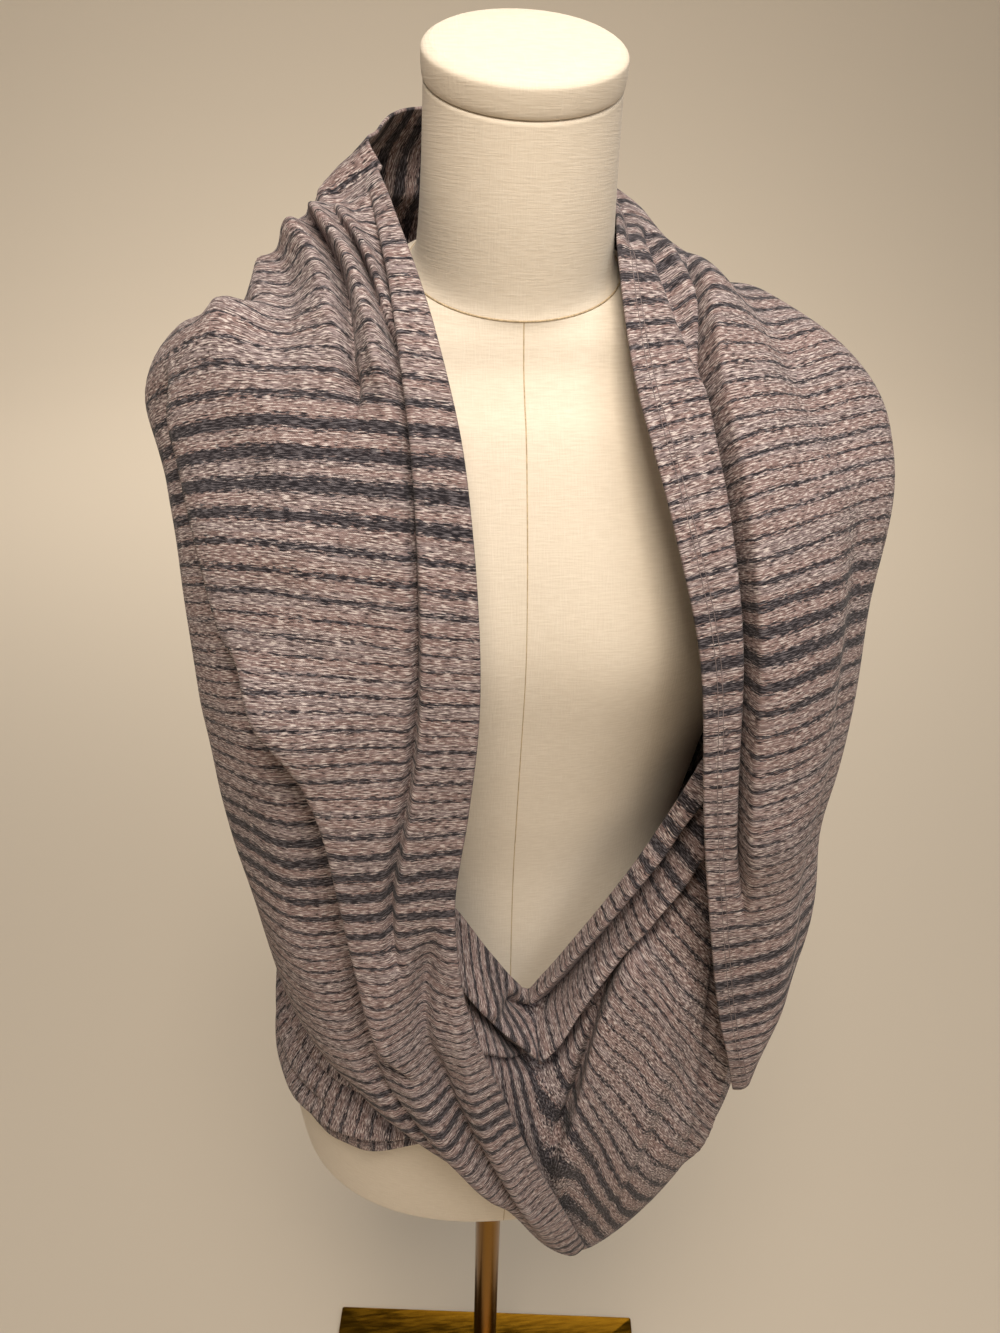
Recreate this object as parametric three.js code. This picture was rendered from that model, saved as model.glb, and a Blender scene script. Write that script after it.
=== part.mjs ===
// Infinity scarf of striped jersey, wound once round the neck and once round the hips of a
// limbless dress form, which stands on a pole and a flat plate. Millimetres, +Z up, the form
// faces -Y, and the origin is on the floor under the pole.
import * as THREE from "three";

// Stand
const PLATE = { width: 400, depth: 300, thickness: 8, back: 148, turn: -6.5 };
const POLE = { radius: 12.5, sides: 32 };

// Dress form
const FORM = { sides: 40, ringsPerStep: 1 };
const SEAM_GAP = 0.3;
const BUST = { x: 72, z: 1212, rise: 10, halfWidth: 52, halfHeight: 66 };

// Cloth: wall, points across a section and how they crowd to the inner edge, rows to a section,
// the share of a fold over which it rises and dies away, and the height up to which the cloth is
// kept clear of the torso.
const CLOTH = { wall: 2, across: 36, crowding: 1.3, rowsPerSection: 2, fade: 0.18, clearBelow: 1376 };

// Rings of the form. Each is a superellipse about (0, centreY) at height z, with its own half
// width, depths in front and behind, and forward tilt in degrees.
const TORSO = [
  // z, halfWidth, front, back, centreY, tilt, power
  [690, 158, 115, 117, 0, 0, 2.2],
  [698, 166, 121, 123, 0, 0, 2.2],
  [760, 171, 127, 131, 0, 0, 2.2],
  [830, 172, 124, 136, 0, 0, 2.2],
  [900, 162, 114, 124, 0, 0, 2.2],
  [970, 142, 103, 102, 0, 0, 2.2],
  [1035, 128, 98, 86, 0, 0, 2.2],
  [1095, 136, 104, 84, 0, 0, 2.2],
  [1155, 146, 112, 86, 0, 0, 2.3],
  [1212, 152, 118, 92, 0, 0, 2.4],
  [1258, 155, 111, 97, 0, 0, 2.4],
  [1300, 162, 97, 100, 0, 0, 2.3],
  [1328, 170, 84, 97, 0, 0, 2.2],
  [1347, 162, 73, 88, 0, 4, 2.1],
  [1364, 134, 64, 78, 0, 8, 2.1],
  [1380, 100, 59, 68, -1, 12, 2.1],
  [1391, 74, 56, 60, -2, 16, 2.0],
  [1397, 58, 55, 56, -3, 18, 2.0],
];
const NECK = [
  [1397, 58, 55, 56, -3, 18, 2.0],
  [1408, 53, 52, 52, -6, 19, 2.0],
  [1444, 50, 50, 50, -15, 19, 2.0],
  [1484, 48.5, 48.5, 48.5, -22, 18, 2.0],
];
const CAP = [
  [1484, 46.5, 46.5, 46.5, -22, 18, 2.0],
  [1486, 49, 49, 49, -22.5, 18, 2.0],
  [1495, 49.5, 49.5, 49.5, -25, 18, 2.0],
  [1498, 48.5, 48.5, 48.5, -26, 18, 2.0],
  [1500, 45, 45, 45, -26.5, 18, 2.0],
];

// Sections of the scarf, in the order of the loop. Each row is one section across the width: the
// inner edge, which is the neck edge and then the upper edge of the hip turn, a point that the
// cloth bends towards, the outer edge, and how fully it bends.
const FRONT_LEFT = [
  // innerX Y Z, bendX Y Z, outerX Y Z, fullness
  [144, -172, 908, 149, -176, 912, 153, -167, 916, 1.0],
  [134, -175, 948, 162, -191, 962, 170, -120, 956, 1.2],
  [120, -173, 1000, 195, -188, 1028, 185, -30, 1004, 1.4],
  [102, -170, 1095, 190, -188, 1108, 184, 8, 1068, 1.5],
  [93, -168, 1153, 201, -182, 1172, 189, 28, 1122, 1.5],
  [83, -160, 1236, 207, -162, 1260, 194, 48, 1186, 1.5],
  [68, -140, 1298, 232, -108, 1338, 204, 66, 1222, 1.5],
  [51, -98, 1362, 240, -34, 1380, 204, 82, 1242, 1.4],
  [50, -36, 1410, 204, 20, 1380, 195, 98, 1248, 1.2],
];
const NECK_BACK = [
  [55, 10, 1428, 156, 50, 1374, 178, 108, 1244, 1.0],
  [44, 44, 1445, 112, 96, 1372, 138, 124, 1224, 1.0],
  [-4, 58, 1465, -4, 110, 1404, 0, 130, 1196, 1.0],
  [-56, 46, 1468, -116, 92, 1374, -138, 122, 1222, 1.0],
];
const FRONT_RIGHT = [
  [-74, 12, 1452, -138, 28, 1384, -172, 102, 1244, 1.0],
  [-65, -38, 1432, -160, -10, 1393, -183, 90, 1246, 1.2],
  [-53, -80, 1405, -192, -40, 1397, -185, 79, 1240, 1.4],
  [-43, -116, 1373, -216, -76, 1386, -186, 68, 1228, 1.5],
  [-35, -140, 1334, -208, -114, 1344, -183, 60, 1206, 1.5],
  [-30, -160, 1275, -200, -151, 1302, -179, 51, 1182, 1.5],
  [-29, -168, 1217, -195, -175, 1243, -176, 41, 1148, 1.5],
  [-34, -169, 1154, -191, -179, 1182, -172, 31, 1111, 1.5],
  [-41, -168, 1087, -185, -178, 1115, -162, 21, 1066, 1.5],
  [-36, -170, 1022, -180, -179, 1038, -153, 1, 1012, 1.5],
  [-22, -177, 966, -150, -184, 962, -149, -61, 951, 1.3],
  [-8, -181, 922, -89, -192, 903, -113, -126, 904, 1.2],
  [10, -181, 867, -34, -194, 852, -62, -160, 868, 1.1],
  [30, -178, 812, 4, -190, 800, -18, -168, 820, 1.0],
  [48, -172, 758, 30, -182, 745, 18, -166, 755, 1.0],
  [61, -161, 712, 58, -164, 706, 56, -159, 706, 1.0],
];
const COWL = [
  [-66, -134, 1090, -80, -150, 960, -66, -140, 850, 1.0],
  [-42, -137, 1060, -50, -160, 940, -42, -148, 818, 1.0],
  [-16, -133, 1010, -16, -176, 900, -10, -152, 775, 1.1],
  [6, -127, 971, 20, -192, 862, 30, -152, 728, 1.2],
  [20, -127, 986, 50, -198, 852, 61, -148, 696, 1.2],
  [36, -128, 1015, 92, -198, 872, 109, -148, 758, 1.2],
  [58, -130, 1058, 131, -184, 922, 147, -132, 810, 1.2],
  [81, -129, 1104, 159, -163, 985, 171, -106, 845, 1.2],
  [104, -120, 1146, 171, -128, 1015, 179, -70, 862, 1.2],
];
const BACK_WRAP = [
  [137, -50, 1132, 182, -24, 1010, 184, 0, 866, 1.0],
  [126, 56, 1104, 162, 106, 985, 158, 100, 850, 1.0],
  [28, 98, 1080, 28, 148, 950, 34, 150, 832, 1.0],
  [-72, 92, 1046, -90, 140, 920, -84, 142, 812, 1.0],
  [-138, 44, 1004, -166, 76, 886, -160, 84, 796, 1.0],
  [-150, -20, 956, -172, -22, 862, -173, -4, 786, 1.0],
];
const HIP_WRAP = [
  [-136, -84, 916, -160, -90, 846, -153, -70, 784, 1.0],
  [-96, -116, 884, -108, -132, 840, -106, -124, 806, 1.0],
  [-40, -122, 872, -42, -136, 846, -44, -132, 822, 1.0],
  [22, -122, 884, 22, -134, 850, 22, -131, 812, 1.0],
  [92, -108, 916, 100, -116, 872, 100, -110, 820, 1.0],
];
const NECK_TURN = [...FRONT_LEFT, ...NECK_BACK, ...FRONT_RIGHT];
const HIP_TURN = [...COWL, ...BACK_WRAP, ...HIP_WRAP];

// Folds along each turn: where a fold starts and ends, in sections, its place across the width at
// its start, middle and end, its rise out of the cloth, its half width towards the inner and the
// outer edge, and its lean to the outer edge.
const NECK_FOLDS = [
  // start, end, acrossStart, acrossMid, acrossEnd, rise, innerHalf, outerHalf, lean
  // left panel: groove beside the neck strip, and the rounded fold outside it
  [2.9, 8.5, 0.085, 0.092, 0.19, -11, 7, 8, 0],
  [2.4, 8.8, 0.17, 0.16, 0.25, 6, 12, 24, 0],
  // left panel: soft folds of its broad part and its side
  [5.8, 9.4, 0.34, 0.29, 0.3, -5, 15, 16, 0],
  [1.6, 9, 0.46, 0.44, 0.44, 6, 20, 20, 0],
  [2.6, 9.4, 0.6, 0.6, 0.58, -6, 18, 18, 0],
  [2.2, 9.6, 0.74, 0.75, 0.72, 6, 20, 20, 0],
  // collar and the folds that fall from it
  [8.5, 14, 0.12, 0.1, 0.12, 4, 12, 12, 0],
  [8.5, 14, 0.3, 0.28, 0.3, -6, 14, 14, 0],
  [8.5, 14, 0.5, 0.51, 0.48, 7, 18, 18, 0],
  [8.8, 13.8, 0.68, 0.72, 0.66, -6, 20, 20, 0],
  // right panel: front strip and the groove beside it
  [13.4, 22.4, 0.02, 0.055, 0.08, 4, 18, 7, 0],
  [13.4, 22.4, 0.035, 0.084, 0.11, -9, 6, 8, 0],
  // gathers over the right shoulder
  [13.2, 16.6, 0.165, 0.105, 0.1, 5, 8, 8, 0],
  [13.2, 16.8, 0.18, 0.14, 0.145, -8, 8, 8, 0],
  [13.2, 17.6, 0.21, 0.175, 0.22, 7, 10, 13, 0],
  [12.8, 17.4, 0.32, 0.27, 0.3, -6, 13, 13, 0],
  [12.8, 17.6, 0.42, 0.36, 0.38, 6, 15, 15, 0],
  // right panel: crease down its side, and the long overlap that it deepens into
  [16, 19.8, 0.445, 0.405, 0.3, -7, 10, 18, 0],
  [18.4, 23.4, 0.33, 0.175, 0.215, 8, 26, 10, 4],
  [18.4, 23.4, 0.37, 0.215, 0.265, -11, 11, 22, 0],
  // right panel: its side and back
  [15.6, 22, 0.52, 0.5, 0.48, 6, 18, 18, 0],
  [15.4, 22, 0.65, 0.64, 0.62, -6, 18, 18, 0],
  [15.2, 22, 0.79, 0.79, 0.77, 6, 18, 18, 0],
  // rolls that the front strip becomes at the crossing
  [20.8, 27, 0.005, 0.125, 0.55, 6, 11, 9, 0],
  [21, 26.8, 0.03, 0.22, 0.64, -10, 7, 9, 0],
  [21.2, 26.6, 0.09, 0.34, 0.78, 6, 10, 11, 0],
  [21.4, 26.2, 0.17, 0.46, 0.86, -8, 8, 9, 0],
];
const HIP_FOLDS = [
  // two rolls along the neckline of the cowl
  [0.6, 9.8, 0.035, 0.032, 0.032, 5, 9, 7, 0],
  [0.6, 9.8, 0.07, 0.066, 0.064, -6, 6, 7, 0],
  [1.4, 9.8, 0.18, 0.13, 0.11, 7, 20, 9, 0],
  [1.4, 9.8, 0.24, 0.185, 0.16, -9, 9, 13, 0],
  // diagonal pleat of the cowl, and the fold of its side
  [2.8, 6.2, 0.62, 0.245, 0.19, 7, 12, 32, 0],
  [2.8, 5.8, 0.54, 0.18, 0.14, -6, 15, 12, 0],
  [5, 7.8, 1.02, 0.45, 0.05, -8, 12, 11, 0],
  // folds round the hips
  [8.5, 18, 0.16, 0.18, 0.16, 5, 13, 13, 0],
  [8.5, 18, 0.3, 0.31, 0.28, -6, 13, 13, 0],
  [8.5, 18, 0.46, 0.47, 0.43, 6, 16, 16, 0],
  [8.5, 18, 0.62, 0.63, 0.58, -5, 16, 16, 0],
  [8.5, 18, 0.8, 0.82, 0.75, 5, 17, 17, 0],
];

const lerp = (a, b, t) => a + (b - a) * t;
const smooth = (t) => THREE.MathUtils.smoothstep(t, 0, 1);

// Catmull-Rom row of a table at a fractional place.
function rowAt(table, at) {
  const k = Math.min(table.length - 2, Math.max(0, Math.floor(at)));
  const t = at - k;
  const pick = (i) => table[Math.min(table.length - 1, Math.max(0, i))];
  const [a, b, c, d] = [pick(k - 1), pick(k), pick(k + 1), pick(k + 2)];
  return b.map((_, i) => 0.5 * (2 * b[i] + (c[i] - a[i]) * t
    + (2 * a[i] - 5 * b[i] + 4 * c[i] - d[i]) * t * t
    + (3 * b[i] - a[i] - 3 * c[i] + d[i]) * t * t * t));
}

// Forward rise of the bust at a place on the front.
function bustRise(x, z) {
  const side = (Math.abs(x) - BUST.x) / BUST.halfWidth;
  const level = (z - BUST.z) / BUST.halfHeight;
  return BUST.rise * Math.exp(-side * side - level * level);
}

// Point of a form ring at an angle: 0 is +X and a quarter turn is +Y, the back.
function ringPoint([z, halfWidth, front, back, centreY, tilt, power], angle) {
  const squared = (v) => Math.sign(v) * Math.abs(v) ** (2 / power);
  const x = halfWidth * squared(Math.cos(angle));
  const s = Math.sin(angle);
  let y = (s < 0 ? front : back) * squared(s);
  if (s < 0) y -= bustRise(x, z) * smooth(-s * 2);
  return new THREE.Vector3(x, centreY + y, z + y * Math.tan(THREE.MathUtils.degToRad(tilt)));
}

// Closed geometry from vertices and triangles.
function geometryOf(points, triangles) {
  const geometry = new THREE.BufferGeometry().setFromPoints(points);
  geometry.setIndex(triangles);
  geometry.computeVertexNormals();
  return geometry;
}

// Closed solid through a table of form rings, with a fan at each end. lift raises its foot.
function ringSolid(table, lift = 0) {
  const steps = Math.round((table.length - 1) * FORM.ringsPerStep);
  const points = [];
  const triangles = [];
  const at = (i, j) => i * FORM.sides + (j % FORM.sides);
  for (let i = 0; i <= steps; i++) {
    const row = rowAt(table, (i / steps) * (table.length - 1));
    if (i === 0) row[0] += lift;
    for (let j = 0; j < FORM.sides; j++) points.push(ringPoint(row, (j / FORM.sides) * Math.PI * 2));
  }
  for (let i = 0; i < steps; i++) {
    for (let j = 0; j < FORM.sides; j++) {
      triangles.push(at(i, j), at(i, j + 1), at(i + 1, j + 1));
      triangles.push(at(i, j), at(i + 1, j + 1), at(i + 1, j));
    }
  }
  for (const ring of [0, steps]) {
    const centre = new THREE.Vector3();
    for (let j = 0; j < FORM.sides; j++) centre.addScaledVector(points[at(ring, j)], 1 / FORM.sides);
    points.push(centre);
    for (let j = 0; j < FORM.sides; j++) {
      const edge = ring === 0 ? [at(ring, j + 1), at(ring, j)] : [at(ring, j), at(ring, j + 1)];
      triangles.push(...edge, points.length - 1);
    }
  }
  return geometryOf(points, triangles);
}

// Radius of the torso about the pole's axis at a height, in the direction of (x, y).
function torsoRadius(x, y, z) {
  const top = TORSO.findIndex((row) => row[0] > z);
  if (top < 1 || z > CLOTH.clearBelow) return 0;
  const foot = TORSO[top - 1];
  const row = rowAt(TORSO, top - 1 + (z - foot[0]) / (TORSO[top][0] - foot[0]));
  const [, halfWidth, front, back, , , power] = row;
  const reach = Math.hypot(x, y);
  const sideways = Math.abs(x / reach / halfWidth) ** power;
  const forward = Math.abs(y / reach / (y < 0 ? front : back)) ** power;
  const plain = (sideways + forward) ** (-1 / power);
  return plain + (y < 0 ? bustRise((plain * x) / reach, z) : 0);
}

// Points of one section and its length, as a conic arc from its inner to its outer edge. They
// crowd towards the inner edge, where the narrow folds are.
function sectionPoints(row) {
  const inner = new THREE.Vector3(...row.slice(0, 3));
  const bend = new THREE.Vector3(...row.slice(3, 6));
  const outer = new THREE.Vector3(...row.slice(6, 9));
  const arc = [];
  const fine = 60;
  for (let i = 0; i <= fine; i++) {
    const t = i / fine;
    const pull = 2 * row[9] * t * (1 - t);
    const sum = (1 - t) ** 2 + pull + t * t;
    const point = inner.clone().multiplyScalar((1 - t) ** 2);
    arc.push(point.addScaledVector(bend, pull).addScaledVector(outer, t * t).divideScalar(sum));
  }
  const curve = new THREE.CatmullRomCurve3(arc);
  const points = [];
  for (let j = 0; j <= CLOTH.across; j++) {
    points.push(curve.getPointAt((j / CLOTH.across) ** CLOTH.crowding));
  }
  return { points, length: curve.getLength() };
}

// Push of every fold at one place of a turn: out of the cloth, and towards its outer edge.
function foldPush(folds, at, across, length) {
  let out = 0;
  let lean = 0;
  for (const [start, end, first, middle, last, rise, innerHalf, outerHalf, tip] of folds) {
    const t = (at - start) / (end - start);
    if (t <= 0 || t >= 1) continue;
    const centre = first * (1 - t) * (1 - 2 * t) + middle * 4 * t * (1 - t) + last * t * (2 * t - 1);
    const off = (across - centre) * length;
    const share = off / (off < 0 ? innerHalf : outerHalf);
    const bump = Math.exp(-share * share) * smooth(t / CLOTH.fade) * smooth((1 - t) / CLOTH.fade);
    out += rise * bump;
    lean += tip * bump;
  }
  return { out, lean };
}

// Grid of the cloth's middle surface between two places of a turn, at least clear from the torso,
// with one row more at each end that only sets the direction of the cloth there.
function clothGrid(turn, folds, from, to, clear) {
  const rows = Math.round((to - from) * CLOTH.rowsPerSection);
  const place = (i) => THREE.MathUtils.clamp(lerp(from, to, i / rows), 0, turn.length - 1);
  const sections = new Map();
  for (let i = -2; i <= rows + 2; i++) sections.set(i, sectionPoints(rowAt(turn, place(i))));
  const grid = [];
  for (let i = -1; i <= rows + 1; i++) {
    const { points, length } = sections.get(i);
    const next = sections.get(i + 1).points;
    const last = sections.get(i - 1).points;
    grid.push(points.map((point, j) => {
      const before = points[Math.max(0, j - 1)];
      const after = points[Math.min(CLOTH.across, j + 1)];
      const across = after.clone().sub(before).normalize();
      const normal = across.clone().cross(next[j].clone().sub(last[j])).normalize();
      const push = foldPush(folds, place(i), (j / CLOTH.across) ** CLOTH.crowding, length);
      const p = point.clone().addScaledVector(normal, push.out).addScaledVector(across, push.lean);
      const grow = Math.max(1, (torsoRadius(p.x, p.y, p.z) + clear) / Math.hypot(p.x, p.y));
      return new THREE.Vector3(p.x * grow, p.y * grow, p.z);
    }));
  }
  return grid;
}

// Closed wall of even thickness about a grid of points, without the grid's first and last rows.
function wallSolid(grid, wall) {
  const rows = grid.length - 2;
  const columns = grid[0].length;
  const points = [];
  for (const side of [0.5, -0.5]) {
    for (let i = 1; i <= rows; i++) {
      for (let j = 0; j < columns; j++) {
        const across = grid[i][Math.min(columns - 1, j + 1)].clone().sub(grid[i][Math.max(0, j - 1)]);
        const along = grid[i + 1][j].clone().sub(grid[i - 1][j]);
        points.push(grid[i][j].clone().addScaledVector(across.cross(along).normalize(), side * wall));
      }
    }
  }
  const triangles = [];
  const face = (i, j) => i * columns + j;
  const back = (i, j) => (rows + i) * columns + j;
  const quad = (a, b, c, d) => triangles.push(a, b, c, a, c, d);
  for (let i = 0; i + 1 < rows; i++) {
    for (let j = 0; j + 1 < columns; j++) {
      quad(face(i, j), face(i, j + 1), face(i + 1, j + 1), face(i + 1, j));
      quad(back(i, j), back(i + 1, j), back(i + 1, j + 1), back(i, j + 1));
    }
  }
  const lastRow = rows - 1;
  const lastColumn = columns - 1;
  for (let i = 0; i < lastRow; i++) {
    quad(face(i, 0), face(i + 1, 0), back(i + 1, 0), back(i, 0));
    quad(face(i + 1, lastColumn), face(i, lastColumn), back(i, lastColumn), back(i + 1, lastColumn));
  }
  for (let j = 0; j < lastColumn; j++) {
    quad(face(0, j + 1), face(0, j), back(0, j), back(0, j + 1));
    quad(face(lastRow, j), face(lastRow, j + 1), back(lastRow, j + 1), back(lastRow, j));
  }
  return geometryOf(points, triangles);
}

const LINEN = new THREE.MeshStandardMaterial({ color: 0xded6c6, roughness: 0.9, metalness: 0 });
const GOLD = new THREE.MeshStandardMaterial({ color: 0xb07d1e, roughness: 0.2, metalness: 1 });
const JERSEY = new THREE.MeshStandardMaterial({ color: 0x8a7b78, roughness: 0.95, metalness: 0 });

const part = new THREE.Group();
function add(name, geometry, material) {
  const mesh = new THREE.Mesh(geometry, material);
  mesh.name = name;
  part.add(mesh);
  return mesh;
}

// Stand
const plateShape = new THREE.Shape()
  .moveTo(-PLATE.width / 2, PLATE.back - PLATE.depth)
  .lineTo(PLATE.width / 2, PLATE.back - PLATE.depth)
  .lineTo(PLATE.width / 2, PLATE.back)
  .lineTo(-PLATE.width / 2, PLATE.back);
const plateSolid = new THREE.ExtrudeGeometry(plateShape, { depth: PLATE.thickness, bevelEnabled: false });
add("base_plate", plateSolid, GOLD).rotation.z = THREE.MathUtils.degToRad(PLATE.turn);
const poleFoot = PLATE.thickness + SEAM_GAP;
const poleHeight = TORSO[0][0] - SEAM_GAP - poleFoot;
const pole = add("pole", new THREE.CylinderGeometry(POLE.radius, POLE.radius, poleHeight, POLE.sides), GOLD);
pole.rotation.x = Math.PI / 2;
pole.position.z = poleFoot + poleHeight / 2;

// Dress form
add("torso", ringSolid(TORSO), LINEN);
add("neck", ringSolid(NECK, SEAM_GAP), LINEN);
add("neck_cap", ringSolid(CAP, SEAM_GAP), LINEN);

// Scarf, a stretch for each run of a turn, with its least distance from the torso
const SEAM = 0.006;
function addTurn(turn, folds, stretches) {
  let start = 0;
  for (const [name, table, clear] of stretches) {
    const end = Math.min(start + table.length, turn.length - 1);
    add(name, wallSolid(clothGrid(turn, folds, start + SEAM, end - SEAM, clear), CLOTH.wall), JERSEY);
    start = end;
  }
}
addTurn(NECK_TURN, NECK_FOLDS, [
  ["scarf_front_left", FRONT_LEFT, 4.6],
  ["scarf_neck_back", NECK_BACK, 4],
  ["scarf_front_right", FRONT_RIGHT, 4.5],
]);
addTurn(HIP_TURN, HIP_FOLDS, [
  ["scarf_cowl", COWL, 10],
  ["scarf_back_wrap", BACK_WRAP, 4.4],
  ["scarf_hip_wrap", HIP_WRAP, 4],
]);

export default part;
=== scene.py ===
"""Striped jersey infinity scarf, wound round the neck and the hips of a linen dress form.

Sizes are millimetres until a mesh is made, in the frame of the solids: +Z up, the form faces -Y,
and the origin is on the floor under the pole.
"""
import math

import bpy
import numpy as np
from mathutils import Matrix, Vector


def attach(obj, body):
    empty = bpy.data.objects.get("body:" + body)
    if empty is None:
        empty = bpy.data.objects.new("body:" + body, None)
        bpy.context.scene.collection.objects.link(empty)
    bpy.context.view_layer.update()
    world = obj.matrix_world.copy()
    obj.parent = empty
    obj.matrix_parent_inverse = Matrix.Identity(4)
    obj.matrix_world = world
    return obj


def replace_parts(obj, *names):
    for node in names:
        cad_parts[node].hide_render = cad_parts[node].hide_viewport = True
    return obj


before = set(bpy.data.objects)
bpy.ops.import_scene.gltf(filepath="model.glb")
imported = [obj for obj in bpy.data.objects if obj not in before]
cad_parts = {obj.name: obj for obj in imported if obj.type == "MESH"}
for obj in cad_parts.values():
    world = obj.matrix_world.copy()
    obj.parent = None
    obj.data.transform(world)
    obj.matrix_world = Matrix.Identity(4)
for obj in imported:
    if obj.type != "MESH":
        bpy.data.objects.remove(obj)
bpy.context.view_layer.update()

MM = 0.001

# Sizes

# Plate: its size, place of its rear edge, turn in degrees, radius of its edges and of its corners
PLATE = {"width": 400, "depth": 300, "thickness": 8, "back": 148, "turn": -6.5, "round": 1.6, "corner": 3,
         "points": 96, "edge_steps": 6}
POLE = {"radius": 12.5, "foot": 8.3, "top": 689.7, "rings": 24, "sides": 96}
# Meshes of the form: rings for each row of its tables, and points of a ring
FORM = {"steps": 12, "cap_steps": 6, "torso_sides": 160, "neck_sides": 120}
# Bust: centre, forward rise, and reach to each side and up and down
BUST = {"x": 72, "z": 1212, "rise": 10, "half_width": 52, "half_height": 66}

# Cloth: thickness, thickness and width of its hem, and of the step between them, share of the thickness
# by which an edge is rounded
CLOTH = {"wall": 1.5, "hem": 1.9, "hem_width": 11, "hem_step": 2, "edge": 0.4}
# Grid of the cloth: columns, columns of the surface that they are taken from, points of a section's
# arc, distance between rows and least number of them, how far the columns crowd inwards, share across at
# which length is measured
GRID = {"columns": 200, "fine_columns": 560, "arc_points": 241, "row_step": 3.7, "least_rows": 8,
        "crowd": 0.65, "measured_at": 0.34}
# Shape of the cloth: share of a fold's length over which its end fades, height below which the cloth is
# kept clear of the torso
DRAPE = {"fade": 0.18, "clear_below": 1376}
# Small ripples: height, mean length of a section, wave lengths across and along over two pi, and the
# same of the slower waves in which they wander, with the sway of those across
RIPPLE = {"rise": 0.7, "section": 45, "across": 9, "along": 23, "across_wander": 31, "along_wander": 27,
          "sway": 2}
# Shares of a ring to which the rings of a closed end shrink
LID_STEPS = (0.6, 0.25, 0.004)

# Rings of the form: z, half width, depth in front, depth behind, centre y, forward tilt, power
TORSO = np.array([
    [690, 158, 115, 117, 0, 0, 2.2],
    [698, 166, 121, 123, 0, 0, 2.2],
    [760, 171, 127, 131, 0, 0, 2.2],
    [830, 172, 124, 136, 0, 0, 2.2],
    [900, 162, 114, 124, 0, 0, 2.2],
    [970, 142, 103, 102, 0, 0, 2.2],
    [1035, 128, 98, 86, 0, 0, 2.2],
    [1095, 136, 104, 84, 0, 0, 2.2],
    [1155, 146, 112, 86, 0, 0, 2.3],
    [1212, 152, 118, 92, 0, 0, 2.4],
    [1258, 155, 111, 97, 0, 0, 2.4],
    [1300, 162, 97, 100, 0, 0, 2.3],
    [1328, 170, 84, 97, 0, 0, 2.2],
    [1347, 162, 73, 88, 0, 4, 2.1],
    [1364, 134, 64, 78, 0, 8, 2.1],
    [1380, 100, 59, 68, -1, 12, 2.1],
    [1391, 74, 56, 60, -2, 16, 2.0],
    [1397, 58, 55, 56, -3, 18, 2.0],
])
NECK = np.array([
    [1397.3, 58, 55, 56, -3, 18, 2.0],
    [1408, 53, 52, 52, -6, 19, 2.0],
    [1444, 50, 50, 50, -15, 19, 2.0],
    [1484, 48.5, 48.5, 48.5, -22, 18, 2.0],
])
CAP = np.array([
    [1484.3, 46.5, 46.5, 46.5, -22, 18, 2.0],
    [1486, 49, 49, 49, -22.5, 18, 2.0],
    [1495, 49.5, 49.5, 49.5, -25, 18, 2.0],
    [1498, 48.5, 48.5, 48.5, -26, 18, 2.0],
    [1500, 45, 45, 45, -26.5, 18, 2.0],
])

# Sections of the scarf in the order of the loop: inner edge, bend, outer edge, fullness
FRONT_LEFT = [
    [144, -172, 908, 149, -176, 912, 153, -167, 916, 1.0],
    [134, -175, 948, 162, -191, 962, 170, -120, 956, 1.2],
    [120, -173, 1000, 195, -188, 1028, 185, -30, 1004, 1.4],
    [102, -170, 1095, 190, -188, 1108, 184, 8, 1068, 1.5],
    [93, -168, 1153, 201, -182, 1172, 189, 28, 1122, 1.5],
    [83, -160, 1236, 207, -162, 1260, 194, 48, 1186, 1.5],
    [68, -140, 1298, 232, -108, 1338, 204, 66, 1222, 1.5],
    [51, -98, 1362, 240, -34, 1380, 204, 82, 1242, 1.4],
    [50, -36, 1410, 204, 20, 1380, 195, 98, 1248, 1.2],
]
NECK_BACK = [
    [55, 10, 1428, 156, 50, 1374, 178, 108, 1244, 1.0],
    [44, 44, 1445, 112, 96, 1372, 138, 124, 1224, 1.0],
    [-4, 58, 1465, -4, 110, 1404, 0, 130, 1196, 1.0],
    [-56, 46, 1468, -116, 92, 1374, -138, 122, 1222, 1.0],
]
FRONT_RIGHT = [
    [-74, 12, 1452, -138, 28, 1384, -172, 102, 1244, 1.0],
    [-65, -38, 1432, -160, -10, 1393, -183, 90, 1246, 1.2],
    [-53, -80, 1405, -192, -40, 1397, -185, 79, 1240, 1.4],
    [-43, -116, 1373, -216, -76, 1386, -186, 68, 1228, 1.5],
    [-35, -140, 1334, -208, -114, 1344, -183, 60, 1206, 1.5],
    [-30, -160, 1275, -200, -151, 1302, -179, 51, 1182, 1.5],
    [-29, -168, 1217, -195, -175, 1243, -176, 41, 1148, 1.5],
    [-34, -169, 1154, -191, -179, 1182, -172, 31, 1111, 1.5],
    [-41, -168, 1087, -185, -178, 1115, -162, 21, 1066, 1.5],
    [-36, -170, 1022, -180, -179, 1038, -153, 1, 1012, 1.5],
    [-22, -177, 966, -150, -184, 962, -149, -61, 951, 1.3],
    [-8, -181, 922, -89, -192, 903, -113, -126, 904, 1.2],
    [10, -181, 867, -34, -194, 852, -62, -160, 868, 1.1],
    [30, -178, 812, 4, -190, 800, -18, -168, 820, 1.0],
    [48, -172, 758, 30, -182, 745, 18, -166, 755, 1.0],
    [61, -161, 712, 58, -164, 706, 56, -159, 706, 1.0],
]
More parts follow.
